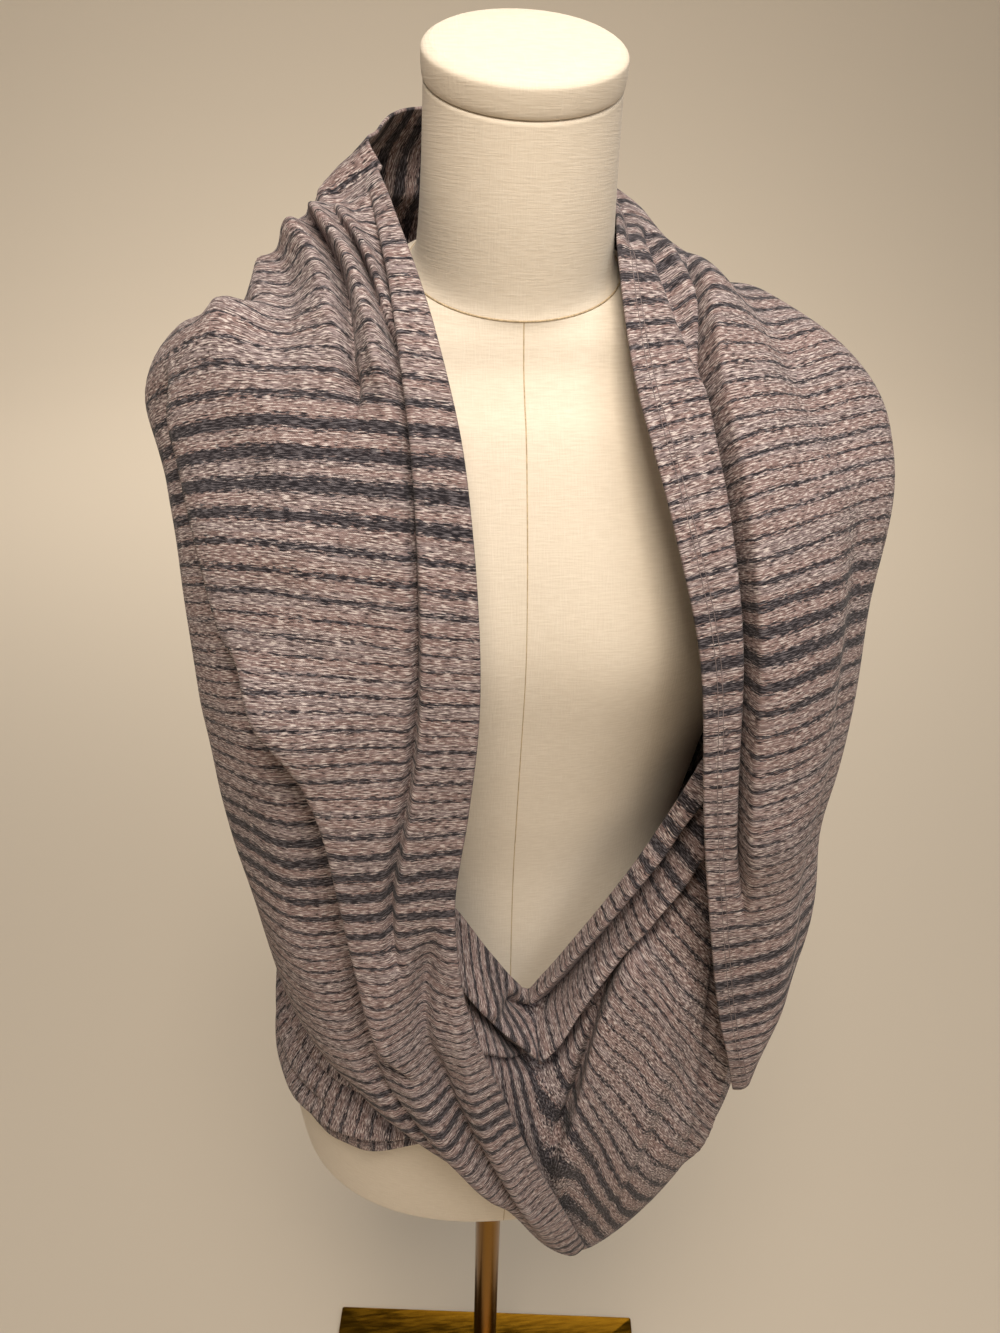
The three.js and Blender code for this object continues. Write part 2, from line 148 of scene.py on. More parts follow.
COWL = [
    [-66, -134, 1090, -80, -150, 960, -66, -140, 850, 1.0],
    [-42, -137, 1060, -50, -160, 940, -42, -148, 818, 1.0],
    [-16, -133, 1010, -16, -176, 900, -10, -152, 775, 1.1],
    [6, -127, 971, 20, -192, 862, 30, -152, 728, 1.2],
    [20, -127, 986, 50, -198, 852, 61, -148, 696, 1.2],
    [36, -128, 1015, 92, -198, 872, 109, -148, 758, 1.2],
    [58, -130, 1058, 131, -184, 922, 147, -132, 810, 1.2],
    [81, -129, 1104, 159, -163, 985, 171, -106, 845, 1.2],
    [104, -120, 1146, 171, -128, 1015, 179, -70, 862, 1.2],
]
BACK_WRAP = [
    [137, -50, 1132, 182, -24, 1010, 184, 0, 866, 1.0],
    [126, 56, 1104, 162, 106, 985, 158, 100, 850, 1.0],
    [28, 98, 1080, 28, 148, 950, 34, 150, 832, 1.0],
    [-72, 92, 1046, -90, 140, 920, -84, 142, 812, 1.0],
    [-138, 44, 1004, -166, 76, 886, -160, 84, 796, 1.0],
    [-150, -20, 956, -172, -22, 862, -173, -4, 786, 1.0],
]
HIP_WRAP = [
    [-136, -84, 916, -160, -90, 846, -153, -70, 784, 1.0],
    [-96, -116, 884, -108, -132, 840, -106, -124, 806, 1.0],
    [-40, -122, 872, -42, -136, 846, -44, -132, 822, 1.0],
    [22, -122, 884, 22, -134, 850, 22, -131, 812, 1.0],
    [92, -108, 916, 100, -116, 872, 100, -110, 820, 1.0],
]

# Folds along a turn: start and end in sections, place across at start, middle and end, rise, half
# width towards the inner and the outer edge, and lean to the outer edge
NECK_FOLDS = np.array([
    # left panel: tight groove beside the neck strip, the rounded fold outside it, and its branches
    [2.6, 8.4, 0.087, 0.092, 0.19, -19, 2.3, 3, 0],
    [2.5, 8.6, 0.106, 0.112, 0.212, 10, 4.5, 34, -3],
    [6.7, 8.8, 0.124, 0.1, 0.085, -6, 4, 5, 0],
    [6.9, 8.6, 0.145, 0.133, 0.112, 4, 4, 4, 0],
    [7.9, 9.8, 0.03, 0.03, 0.04, -3, 3, 4, 0],
    # left panel: soft folds of its broad part and of its side
    [5.8, 8.8, 0.35, 0.29, 0.3, -5, 14, 18, 0],
    [6.2, 10.4, 0.42, 0.38, 0.4, 6, 18, 20, 0],
    [1.4, 6.2, 0.32, 0.33, 0.36, -5, 16, 16, 0],
    [1.6, 7.4, 0.44, 0.46, 0.48, 6, 20, 20, 0],
    [2.6, 9.4, 0.6, 0.6, 0.58, -6, 16, 18, 0],
    [2.2, 9.6, 0.72, 0.74, 0.7, 6, 18, 18, 0],
    [2.4, 9.6, 0.86, 0.87, 0.86, -5, 14, 16, 0],
    # collar and the folds that fall from it
    [8.5, 14, 0.12, 0.1, 0.12, 4, 12, 12, 0],
    [8.7, 13.8, 0.2, 0.19, 0.2, -5, 8, 8, 0],
    [8.3, 14, 0.3, 0.29, 0.3, 8, 14, 4, 5],
    [8.3, 14, 0.335, 0.325, 0.335, -11, 3.5, 10, 0],
    [8.5, 14, 0.5, 0.55, 0.48, 8, 20, 4.5, 5],
    [8.5, 14, 0.54, 0.59, 0.52, -11, 4, 12, 0],
    [9.6, 13.8, 0.74, 0.7, 0.76, 6, 14, 16, 0],
    [8.8, 12.4, 0.84, 0.86, 0.8, -5, 14, 14, 0],
    # right panel: front strip lying over the groove beside it
    [13.4, 22.2, 0.022, 0.07, 0.093, 2.5, 14, 2.2, 1.5],
    [13.4, 22.2, 0.03, 0.081, 0.105, -8, 1.8, 3.5, 0],
    # right shoulder: gathers that run out from the neck
    [13.5, 15.7, 0.108, 0.078, 0.064, 7, 3.4, 3.4, 0],
    [14.1, 16.0, 0.098, 0.08, 0.066, -10, 2.4, 2.8, 0],
    [13.6, 16.6, 0.146, 0.1, 0.098, 7.5, 4, 4.6, 0],
    [13.5, 16.8, 0.17, 0.133, 0.145, -14, 3.6, 4.4, 0],
    [13.7, 16.3, 0.2, 0.155, 0.13, 6, 5, 10, 0],
    [12.9, 17.0, 0.3, 0.235, 0.25, -4, 9, 10, 0],
    [15.8, 18.2, 0.22, 0.25, 0.25, 4.5, 16, 24, 0],
    [12.9, 16.2, 0.4, 0.31, 0.3, 3, 10, 11, 0],
    [12.8, 16.0, 0.5, 0.4, 0.38, -4, 10, 12, 0],
    # right panel: crease down its side, then the long overlap that it deepens into
    [16.0, 19.8, 0.43, 0.385, 0.275, 8, 30, 4, 8],
    [16.0, 19.8, 0.448, 0.405, 0.295, -14, 3, 20, 0],
    [18.5, 23.3, 0.345, 0.18, 0.235, 12, 30, 4, 10],
    [18.5, 23.3, 0.365, 0.205, 0.255, -16, 3.5, 26, 0],
    # right panel: its side and back
    [15.6, 22, 0.54, 0.53, 0.5, 6, 18, 18, 0],
    [15.4, 22, 0.64, 0.63, 0.6, -6, 16, 16, 0],
    [15.2, 22, 0.76, 0.76, 0.74, 6, 16, 16, 0],
    [15.2, 21.6, 0.88, 0.88, 0.86, -5, 14, 14, 0],
    # right panel: rolls that the front strip becomes at the crossing
    [20.8, 27, 0.005, 0.125, 0.55, 6, 9, 6, 0],
    [21.0, 26.8, 0.03, 0.22, 0.64, -11, 4, 7, 0],
    [21.2, 26.6, 0.09, 0.34, 0.78, 6, 8, 9, 0],
    [21.4, 26.2, 0.17, 0.46, 0.86, -8, 5, 7, 0],
])
HIP_FOLDS = np.array([
    # cowl: the two rolls of its neckline, each lying over the groove below it
    [2.2, 9.8, 0.022, 0.022, 0.03, 8, 5, 4, 2],
    [2.2, 9.8, 0.05, 0.05, 0.06, -14, 3.2, 5, 0],
    [0.6, 9.8, 0.21, 0.105, 0.115, 10, 14, 4, 7],
    [0.6, 9.8, 0.24, 0.135, 0.142, -19, 3.2, 10, 0],
    # cowl: crease of its left corner, and the short roll from there to the pleat
    [0.8, 3.3, 0.4, 0.15, -0.03, -6, 5, 10, 0],
    [0.2, 5.2, 0.6, 0.2, 0.18, 6, 9, 4, 3],
    [0.2, 5.2, 0.63, 0.225, 0.205, -9, 3, 8, 0],
    # cowl: diagonal pleat, fold of its side, and slack between them
    [3.0, 6.2, 0.56, 0.265, 0.155, 13, 5, 36, -6],
    [3.0, 6.2, 0.515, 0.235, 0.13, -15, 12, 4, 0],
    [5.4, 7.5, 1.0, 0.47, 0.34, -12, 9, 5, 0],
    [5.5, 7.7, 1.04, 0.54, 0.4, 7, 5, 16, 0],
    [3.6, 6.4, 0.98, 0.66, 0.5, -4, 18, 18, 0],
    [4.2, 6.6, 0.8, 0.46, 0.32, 4, 16, 16, 0],
    # folds round the hips: three long ones that lie over a groove, and soft swells between them
    [8.6, 17.6, 0.1, 0.2, 0.13, 7, 14, 4, 5],
    [8.6, 17.6, 0.135, 0.235, 0.165, -11, 3.5, 9, 0],
    [9.2, 15.8, 0.47, 0.41, 0.52, 8, 18, 4, 5],
    [9.2, 15.8, 0.505, 0.445, 0.555, -12, 3.5, 11, 0],
    [10.4, 17.8, 0.68, 0.72, 0.6, 7, 16, 4, 4],
    [10.4, 17.8, 0.715, 0.755, 0.635, -10, 3.5, 10, 0],
    [8.5, 13, 0.3, 0.32, 0.24, 4, 11, 13, 0],
    [11.5, 18, 0.32, 0.3, 0.36, -5, 9, 12, 0],
    [8.5, 12.6, 0.64, 0.6, 0.66, -5, 12, 14, 0],
    [8.5, 14.5, 0.86, 0.88, 0.9, 5, 14, 12, 0],
])
# Tucks across a turn: start and end across, place in sections at start, middle and end, rise, half
# width before and after it along the turn, and lean along the turn
NECK_TUCKS = np.array([
    # lip of the right panel over the gathers of the shoulder
    [0.26, 0.7, 15.55, 15.5, 15.75, 12, 8, 40, -4],
    [0.26, 0.66, 15.15, 15.1, 15.3, -7, 8, 5, 0],
    # slope that the gathers fill between the collar and the lip
    [0.1, 0.33, 13.95, 14.0, 14.1, 13, 34, 22, 0],
    # fold round the outside of the collar at the right
    [-0.06, 0.2, 13.24, 13.3, 13.42, -6, 5, 6, 0],
    [-0.06, 0.24, 12.9, 12.98, 13.15, 4, 8, 8, 0],
])
HIP_TUCKS = np.array([
    # slack behind the left hip
    [0.1, 0.95, 10.2, 10.5, 10.4, -4, 16, 16, 0],
    [0.2, 0.9, 12.4, 12.2, 12.5, -4, 18, 18, 0],
])

# Columns of the folds and tucks
RISE, LEAN = 5, 8

# Stretches of each turn: name, sections, least distance from the torso, edges whose hem shows
NECK_STRETCHES = [
    ("front_left", FRONT_LEFT, 4.6, ("inner", "outer")),
    ("neck_back", NECK_BACK, 4, ("outer",)),
    ("front_right", FRONT_RIGHT, 4.5, ("outer",)),
]
HIP_STRETCHES = [
    ("cowl", COWL, 6, ("outer",)),
    ("back_wrap", BACK_WRAP, 4.4, ("inner", "outer")),
    ("hip_wrap", HIP_WRAP, 4, ("outer",)),
]
# Sections at which each turn starts and ends
NECK_SPAN = (0.35, 27.5)
HIP_SPAN = (0, 19)
# Start of the stripes: section, distance further on, and the distance more for each unit across
NECK_PHASE = [(9, 103, 0), (13, 48, 0)]
HIP_PHASE = [(8, 115, -0.25), (12, 115, 0)]

# Twin rows of stitches of a hem: distances from the edge, stitch length, thread radius, share of the
# radius by which the thread is sunk
STITCH = {"rows": (6.8, 9.4), "length": 3.2, "radius": 0.24, "sunk": 0.65, "points": 4, "sides": 5}
# Seams of the form: thread radius, how far it is let into the linen, and for the middle seams the share
# of that radius, the depth and the torso's ring at which they start
SEAM = {"radius": 0.55, "sunk": 0.1, "middle_share": 0.9, "middle_sunk": 0.36, "middle_start": 10,
        "sides": 8, "neck_points": 180}

# Stripes: mean pitch, repeat of the grading, how far the pitch follows it, waver, and in shares of half
# the pitch the least half width, what grading and chance add to it, and how ragged the edges are
STRIPE = {"pitch": 10.7, "repeat": 222, "swing": 0.26, "waver": 4, "narrow": 0.13, "graded": 0.36,
          "chance": 0.1, "ragged": 1.5, "long_ragged": 0.9}
# Knit: pitch of its wales and courses, and their part in the relief for one of the fibres
KNIT = {"wale": 1.1, "course": 0.9, "share": 0.2}
# Streaks of uneven yarn and of rubbing: scales along and across for each metre, seed
STREAKS = {
    "stripe_waver": (14.0, 14.0, 3.0),
    "fibre": (230.0, 1150.0, 0.0),
    "long_fibre": (45.0, 600.0, 7.0),
    "fleck": (220.0, 1500.0, 11.0),
    "tone": (60.0, 1000.0, 17.0),
    "band": (5.0, 140.0, 23.0),
    "weft": (110.0, 1100.0, 0.0),
    "warp": (1100.0, 90.0, 5.0),
    "patch": (7.0, 9.0, 9.0),
    "twist": (900.0, 900.0, 2.0),
    "rub": (30.0, 260.0, 0.0),
}
# Colours of the finishes, 8 bits each
COLOURS = {
    "marl_dark": (110, 95, 94),
    "marl_light": (150, 136, 137),
    "marl_rose": (142, 114, 108),
    "light_fleck": (208, 197, 193),
    "dark_fleck": (60, 51, 52),
    "stripe_dark": (25, 24, 31),
    "stripe_light": (94, 90, 96),
    "linen_dark": (224, 212, 194),
    "linen_light": (233, 222, 205),
    "linen_slub": (239, 230, 215),
    "linen_patch": (225, 212, 192),
    # Both golds are far darker than polished gold: the plating's tone with a painted dark reflection laid
    # into it
    "gold_dark_painted_reflection": (104, 70, 11),
    "gold_light_painted_reflection": (138, 98, 22),
    "hem_thread": (128, 116, 116),
    "seam_thread": (204, 182, 148),
    "floor": (224, 211, 192),
}

# Camera: angles in degrees, place in metres, focal length and long side of the frame in pixels, sensor
# in millimetres
CAMERA = {"azimuth": -6, "heading": -5.81, "pitch": 31, "roll": 1.45, "distance": 0.58, "height": 1.49,
          "focal": 1000, "long_side": 1333, "sensor": 36, "near": 0.02}
# Floor in metres: radii of its inner rings, of its flat part, and of the sweep round it
STAGE = {"inner": (0.01, 2, 4), "flat": 5.0, "sweep": 6.0, "bends": 16, "sides": 128}
SKY = {"colour": (0.97, 0.96, 0.97, 1), "strength": 0.16}
# Soft lights: name, place and aim in metres, size, watts, colour
LIGHTS = [
    ("main", (-0.08, -0.9, 2.7), (0, 0, 1.2), 0.6, 28, (1.0, 0.89, 0.76)),
    ("fill", (0.7, -1.5, 2.5), (0, 0, 1.2), 1.0, 8, (0.92, 0.96, 1.0)),
    ("top", (0.35, 0.0, 2.9), (0, 0, 1.3), 1.0, 8, (1.0, 0.95, 0.88)),
    ("back", (0.7, 2.3, 2.3), (0, 0, 1.1), 1.5, 12, (1.0, 0.95, 0.88)),
    ("floor_in_front", (0, -4.0, 3.8), (0, -7.0, 0.4), 4.5, 190, (1.0, 0.93, 0.84)),
    ("floor_behind", (0, 4.0, 3.8), (0, 7.0, 0.4), 4.5, 190, (1.0, 0.93, 0.84)),
]

# Mesh helpers


def unit(v):
    """Vectors divided by their lengths."""
    return v / np.maximum(np.linalg.norm(v, axis=-1, keepdims=True), 1e-9)


def ease(t):
    """Smooth step 3t^2 - 2t^3 between 0 and 1."""
    t = np.clip(t, 0, 1)
    return t * t * (3 - 2 * t)


def rows_at(table, at):
    """Rows of a table at fractional places: the Catmull-Rom curve through its rows."""
    table = np.asarray(table, float)
    at = np.clip(np.asarray(at, float), 0, len(table) - 1)
    k = np.clip(np.floor(at).astype(int), 0, len(table) - 2)
    t = (at - k)[:, None]
    a, b, c, d = (table[np.clip(k + i, 0, len(table) - 1)] for i in (-1, 0, 1, 2))
    return 0.5 * (2 * b + (c - a) * t + (2 * a - 5 * b + 4 * c - d) * t ** 2
                  + (3 * b - a - 3 * c + d) * t ** 3)


def piece(name, points, faces, material, uv=None):
    """Mesh object in metres at the origin, smooth shaded, riding on the part's one body."""
    mesh = bpy.data.meshes.new(name)
    mesh.from_pydata((points * MM).tolist(), [], faces)
    mesh.polygons.foreach_set("use_smooth", np.ones(len(mesh.polygons), bool))
    if uv is not None:
        corners = np.zeros(len(mesh.loops), np.int32)
        mesh.loops.foreach_get("vertex_index", corners)
        mesh.uv_layers.new(name="cloth").data.foreach_set("uv", uv[corners].astype(np.float32).ravel())
    mesh.materials.append(material)
    mesh.validate()
    obj = bpy.data.objects.new(name, mesh)
    bpy.context.collection.objects.link(obj)
    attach(obj, "root")
    return obj


def tube_faces(rings, sides):
    """Quads of a grid of rings that is closed round each ring, ring by ring."""
    i, j = np.meshgrid(np.arange(rings - 1), np.arange(sides), indexing="ij")
    k = (j + 1) % sides
    quads = np.stack([i * sides + j, i * sides + k, (i + 1) * sides + k, (i + 1) * sides + j], -1)
    return quads.reshape(-1, 4).tolist()


def closed_rings(name, rings, material):
    """Closed surface through rings of points, each end shrunk to its own centre in a few steps."""
    def cap(ring):
        centre = ring.mean(0)
        return [centre + (ring - centre) * share for share in LID_STEPS]
    stack = np.stack(cap(rings[0])[::-1] + list(rings) + cap(rings[-1]))
    count, sides = stack.shape[:2]
    faces = tube_faces(count, sides)
    faces.append(list(range(sides))[::-1])
    faces.append([(count - 1) * sides + j for j in range(sides)])
    return piece(name, stack.reshape(-1, 3), faces, material)


def thread_tube(path, outward, radius, sides):
    """Points and quads of a round thread: circles about a path, square to it, with one axis
    outward. The path is a grid of strands by points."""
    ahead = unit(np.gradient(path, axis=1))
    across = unit(np.cross(outward, ahead))
    up = np.cross(ahead, across)
    angle = np.linspace(0, 2 * math.pi, sides, endpoint=False)[:, None]
    circle = (across[:, :, None] * np.cos(angle) + up[:, :, None] * np.sin(angle)) * radius
    rings = path[:, :, None] + circle
    strands, count = path.shape[:2]
    quads = np.array(tube_faces(count, sides))
    start = np.arange(strands)[:, None, None] * count * sides
    lids = np.stack([np.arange(sides), np.arange(sides) + (count - 1) * sides])
    lids = [row[::step].tolist() for s in range(strands)
            for row, step in ((lids[0] + s * count * sides, -1), (lids[1] + s * count * sides, 1))]
    return rings.reshape(-1, 3), (quads[None] + start).reshape(-1, 4).tolist() + lids


# Dress form and stand


def bust_rise(x, z):
    """Forward rise of the bust: a bell about each side's centre."""
    side = (np.abs(x) - BUST["x"]) / BUST["half_width"]
    level = (z - BUST["z"]) / BUST["half_height"]
    return BUST["rise"] * np.exp(-side ** 2 - level ** 2)


def form_rings(table, steps, sides):
    """Rings of the form: superellipses through the table's rows, tilted forward, with the bust."""
    rows = rows_at(table, np.linspace(0, len(table) - 1, steps * (len(table) - 1) + 1))
    z, half_width, front, back, centre, tilt, power = (rows[:, i:i + 1] for i in range(7))
    angle = np.linspace(0, 2 * math.pi, sides, endpoint=False)[None]
    c, s = np.cos(angle), np.sin(angle)
    x = half_width * np.sign(c) * np.abs(c) ** (2 / power)
    y = np.where(s < 0, front, back) * np.sign(s) * np.abs(s) ** (2 / power)
    y = y - np.where(s < 0, bust_rise(x, z) * ease(-2 * s), 0)
    return np.stack([x, centre + y, z + y * np.tan(np.radians(tilt))], -1)


def torso_radius(p):
    """Radius of the torso about the pole's axis, in the direction and at the height of points."""
    z = p[..., 2]
    at = np.interp(z, TORSO[:, 0], np.arange(len(TORSO)))
    rows = rows_at(TORSO, at.ravel()).reshape(z.shape + (7,))
    _, half_width, front, back, _, _, power = np.moveaxis(rows, -1, 0)
    reach = np.hypot(p[..., 0], p[..., 1])
    cx, cy = p[..., 0] / reach, p[..., 1] / reach
    depth = np.where(cy < 0, front, back)
    plain = (np.abs(cx / half_width) ** power + np.abs(cy / depth) ** power) ** (-1 / power)
    radius = plain + np.where(cy < 0, bust_rise(plain * cx, z), 0)
    return np.where((z < TORSO[0, 0]) | (z > DRAPE["clear_below"]), 0, radius)


def form_seams(material):
    """Sewn seams of the form as threads let into the linen: a ring at the foot of the neck, and one
    line down the middle of the front and of the back."""
    ring = form_rings(NECK, FORM["steps"], SEAM["neck_points"])[0]
    ring = np.concatenate([ring, ring[:2]])
    out = unit(ring - ring.mean(0))
    path = ring[None] - out[None] * SEAM["sunk"]
    points, faces = thread_tube(path, out[None], SEAM["radius"], SEAM["sides"])
    piece("neck_seam", points, faces, material)
    rings = form_rings(TORSO, FORM["steps"], FORM["torso_sides"])[SEAM["middle_start"]:]
    quarter = FORM["torso_sides"] // 4
    lines = np.stack([rings[:, 3 * quarter], rings[:, quarter]])
    out = np.zeros_like(lines)
    out[..., 1] = [[-1], [1]]
    path = lines - out * SEAM["middle_sunk"]
    points, faces = thread_tube(path, out, SEAM["radius"] * SEAM["middle_share"], SEAM["sides"])
    piece("middle_seams", points, faces, material)


def stand_plate(material):
    """Flat plate: its rounded-corner outline carried up a profile with eased edges."""
    half_width, half_depth, ease_radius = PLATE["width"] / 2, PLATE["depth"] / 2, PLATE["round"]
    points, corner = PLATE["points"], PLATE["corner"]
    angle = np.linspace(0, 2 * math.pi, points, endpoint=False) + math.pi / points
    out = np.stack([np.cos(angle), np.sin(angle)], -1)
    centre = np.sign(out) * [half_width - corner, half_depth - corner]
    bend = np.linspace(0, math.pi / 2, PLATE["edge_steps"])
    rising, falling = ease_radius * np.sin(bend), ease_radius * (1 - np.cos(bend))
    rise = np.concatenate([falling, PLATE["thickness"] - ease_radius + rising])
    inset = np.concatenate([ease_radius - rising, falling])
    outline = centre + out * (corner - inset)[:, None, None] + [0, PLATE["back"] - half_depth]
    a = math.radians(PLATE["turn"])
    turn = np.array([[math.cos(a), math.sin(a)], [-math.sin(a), math.cos(a)]])
    height = np.broadcast_to(rise[:, None, None], (len(rise), points, 1))
    return closed_rings("stand_plate", np.concatenate([outline @ turn, height], -1), material)


def stand_pole(material):
    """Round pole: circles up a straight profile."""
    angle = np.linspace(0, 2 * math.pi, POLE["sides"], endpoint=False)[None]
    z = np.linspace(POLE["foot"], POLE["top"], POLE["rings"])[:, None]
    x, y, z = np.broadcast_arrays(POLE["radius"] * np.cos(angle), POLE["radius"] * np.sin(angle), z)
    return closed_rings("stand_pole", np.stack([x, y, z], -1), material)


# Scarf


def section_arcs(rows, across):
    """Conic arc of each section, ((1-t)^2 inner + 2wt(1-t) bend + t^2 outer) / their sum, at places
    across that are shares of its length. Also the lengths."""
    t = np.linspace(0, 1, GRID["arc_points"])[None, :, None]
    inner, bend, outer, fullness = np.split(rows[:, None], (3, 6, 9), axis=-1)
    pull = 2 * fullness * t * (1 - t)
    arc = inner * (1 - t) ** 2 + bend * pull + outer * t ** 2
    arc = arc / ((1 - t) ** 2 + pull + t ** 2)
    run = np.cumsum(np.linalg.norm(np.diff(arc, axis=1), axis=2), axis=1)
    run = np.concatenate([np.zeros((len(rows), 1)), run], 1)
    want = across[None, :] * run[:, -1:]
    k = np.stack([np.searchsorted(r, w, side="right") for r, w in zip(run, want)]) - 1
    k = np.clip(k, 0, run.shape[1] - 2)
    low, high = np.take_along_axis(run, k, 1), np.take_along_axis(run, k + 1, 1)
    f = ((want - low) / (high - low))[..., None]
    k = k[..., None]
    return np.take_along_axis(arc, k, 1) * (1 - f) + np.take_along_axis(arc, k + 1, 1) * f, run[:, -1]


def fold_bells(folds, along, across, spread):
    """Bell of each fold: exp(-(distance from its line / half width)^2), with its own half width on
    each side. The line is a parabola through three places across, and both its ends fade out.
    Distances across are shares times spread. For tucks, along and across change places."""
    start, end, first, middle, last, _, before, after, _ = folds.T
    t = (along[..., None] - start) / (end - start)
    line = first * (1 - t) * (1 - 2 * t) + middle * 4 * t * (1 - t) + last * t * (2 * t - 1)
    fade = ease(t / DRAPE["fade"]) * ease((1 - t) / DRAPE["fade"])
    off = (across[..., None] - line) * spread[..., None]
    off = off / np.where(off < 0, before, after)
    return np.exp(-off ** 2) * fade


def turn_surface(turn, folds, tucks, at, across, clear):
    """Middle surface of a turn: its sections' arcs, moved by the folds and tucks out of the cloth,
    across and along it, rippled a little, and pushed out from the pole's axis where that is nearer
    to the torso than clear."""
    points, length = section_arcs(rows_at(turn, at), across)
    side = unit(np.gradient(points, axis=1))
    down = np.gradient(points, axis=0)
    normal = unit(np.cross(side, down))
    down = unit(down)
    bells = fold_bells(folds, at[:, None], across[None, :], length[:, None])
    rise, lean = bells @ folds[:, RISE], bells @ folds[:, LEAN]
    third = points[:, np.searchsorted(across, GRID["measured_at"])]
    pace = np.linalg.norm(np.gradient(third, axis=0), axis=1) / np.gradient(at)
    bells = fold_bells(tucks, across[None, :], at[:, None], pace[:, None])
    rise, slide = rise + bells @ tucks[:, RISE], bells @ tucks[:, LEAN]
    u, v = across[None, :] * length[:, None], at[:, None] * RIPPLE["section"]
    waves = np.sin(u / RIPPLE["across"] + RIPPLE["sway"] * np.sin(v / RIPPLE["across_wander"]))
    waves = waves * np.sin(v / RIPPLE["along"] + np.sin(u / RIPPLE["along_wander"]))
    rise = rise + RIPPLE["rise"] * waves
    points = points + normal * rise[..., None] + side * lean[..., None] + down * slide[..., None]
    reach = np.hypot(points[..., 0], points[..., 1])
    grow = np.maximum(1, (torso_radius(points) + clear[:, None]) / reach)
    points[..., :2] *= grow[..., None]
    return points


def run_along(turn):
    """Close places along a turn, in sections, and the distance to each along the cloth, measured a
    third of the way across it."""
    steps = 40
    at = np.linspace(0, len(turn) - 1, steps * len(turn))
    points = section_arcs(rows_at(turn, at), np.array([GRID["measured_at"]]))[0][:, 0]
    run = np.concatenate([[0], np.cumsum(np.linalg.norm(np.diff(points, axis=0), axis=1))])
    return at, run


def crowded(count):
    """Shares from 0 to 1 that crowd towards 0, where the narrow folds are."""
    t = np.linspace(0, 1, count)
    return (1 - GRID["crowd"]) * t + GRID["crowd"] * t ** 3


def crowded_columns(points, columns):
    """Grid with the columns of each row crowded towards its inner edge, and the distances across."""
    run = np.cumsum(np.linalg.norm(np.diff(points, axis=1), axis=2), axis=1)
    run = np.concatenate([np.zeros((len(points), 1)), run], 1)
    want = crowded(columns)[None, :] * run[:, -1:]
    grid = [[np.interp(w, r, p[:, k]) for k in range(3)] for w, r, p in zip(want, run, points)]
    return np.array(grid).transpose(0, 2, 1), want


def cloth_shell(name, points, normal, thickness, uv, material):
    """Closed shell about a grid: each row is a ring out along the face, round the outer edge, back
    along the reverse and round the inner edge. Quads from face to reverse close its two ends."""
    face = points + normal * thickness[..., None] / 2
    reverse = points - normal * thickness[..., None] / 2
    edge = unit(np.gradient(points, axis=1)) * thickness[..., None] * CLOTH["edge"]
    rings = np.concatenate([face, points[:, -1:] + edge[:, -1:], reverse[:, ::-1],
                            points[:, :1] - edge[:, :1]], 1)
    ring_uv = np.concatenate([uv, uv[:, -1:], uv[:, ::-1], uv[:, :1]], 1)
    rows, around = rings.shape[:2]
    columns = points.shape[1]
    faces = np.array(tube_faces(rows, around))[:, ::-1].tolist()
    j = np.arange(columns - 1)
    lid = np.stack([j, j + 1, around - 3 - j, around - 2 - j], -1)
    ends = [[columns - 1, columns, columns + 1], [around - 2, around - 1, 0]]
    top = (rows - 1) * around
    faces += lid.tolist() + ends
    faces += [[top + i for i in f[::-1]] for f in lid.tolist() + ends]
    return piece(name, rings.reshape(-1, 3), faces, material, ring_uv.reshape(-1, 2))


def hem_stitches(name, points, normal, thickness, across, edges, material):
    """Twin rows of stitches beside the named edges of a stretch: threads that arch over the cloth by
    a half sine for each stitch and dip into it between stitches."""
    lift = points + normal * thickness[..., None] / 2
    strands = []
    for row in STITCH["rows"]:
        beside = {"inner": np.full(len(across), row), "outer": across[:, -1] - row}
        for place in (beside[edge] for edge in edges):
            k = np.clip((across < place[:, None]).sum(1) - 1, 0, across.shape[1] - 2)
            i = np.arange(len(across))
            f = ((place - across[i, k]) / (across[i, k + 1] - across[i, k]))[:, None]
            strands.append([lift[i, k] * (1 - f) + lift[i, k + 1] * f, normal[i, k]])
    path = np.array([s[0] for s in strands])
    outward = np.array([s[1] for s in strands])
    run = np.linalg.norm(np.diff(path, axis=1), axis=2).cumsum(axis=1)
    count = int(run[:, -1].mean() / STITCH["length"])
    want = np.linspace(0, len(across) - 1, count * STITCH["points"] + 1)
    k = np.minimum(want.astype(int), len(across) - 2)
    f = (want - k)[None, :, None]
    path = path[:, k] * (1 - f) + path[:, k + 1] * f
    outward = unit(outward[:, k] * (1 - f) + outward[:, k + 1] * f)
    arch = np.abs(np.sin(math.pi * np.arange(len(want)) / STITCH["points"])) - STITCH["sunk"]
    path = path + outward * (arch * STITCH["radius"])[None, :, None]
    rings, faces = thread_tube(path, outward, STITCH["radius"], STITCH["sides"])
    return piece(name, rings, faces, material)


